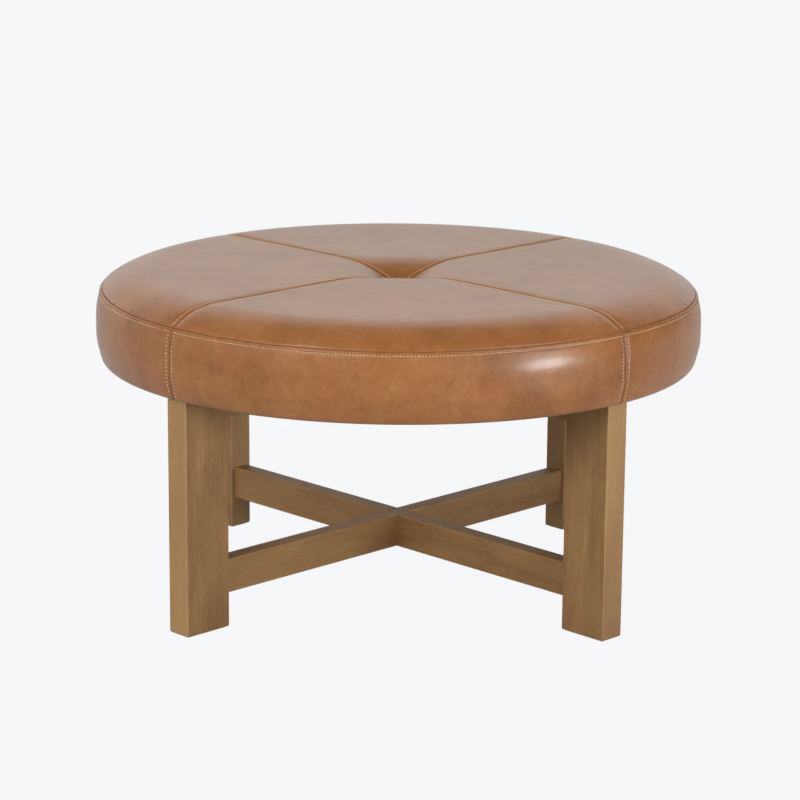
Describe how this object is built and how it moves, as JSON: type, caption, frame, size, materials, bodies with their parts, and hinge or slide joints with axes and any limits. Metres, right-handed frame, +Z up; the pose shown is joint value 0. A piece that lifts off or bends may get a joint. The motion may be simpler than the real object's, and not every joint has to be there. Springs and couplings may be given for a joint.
{
  "type": "ottoman coffee table",
  "caption": "Low round coffee table with a tufted, padded leather drum top on flat wooden legs tied by crossed rails.",
  "frame": {"origin": "on the floor, under the middle of the seat", "axes": "+Z up, -Y to the front as the picture shows it, +X to its right; the legs stand on the diagonals"},
  "size_m": [0.864, 0.864, 0.457],
  "materials": {
    "leather": "semi-aniline, softly waxed",
    "wood": "brown-grey stain, matt lacquer",
    "plywood": "bare",
    "foam": "open-cell foam",
    "dust_cloth": "spunbonded cloth",
    "felt": "pressed felt",
    "zinc": "zinc plated",
    "twine": "waxed"
  },
  "bodies": {
    "root": {"base_board": "plywood", "deck_board": "plywood", "deck_rib_over": "plywood", "deck_rib_under": "plywood", "dust_cover": "dust_cloth", "foot_pads": "felt", "leg_back_left": "wood", "leg_back_right": "wood", "leg_front_left": "wood", "leg_front_right": "wood", "lower_rail_over": "wood", "lower_rail_under": "wood", "rim_blocks": "plywood", "seat_foam": "foam", "seat_screws": "zinc", "side_padding": "foam", "side_panel_back": "leather", "side_panel_front": "leather", "side_panel_left": "leather", "side_panel_right": "leather", "top_panel_back": "leather", "top_panel_front": "leather", "top_panel_left": "leather", "top_panel_right": "leather", "tuft_toggle": "plywood", "tuft_twine": "twine", "upper_rail_over": "wood", "upper_rail_under": "wood"}
  },
  "joints": []
}
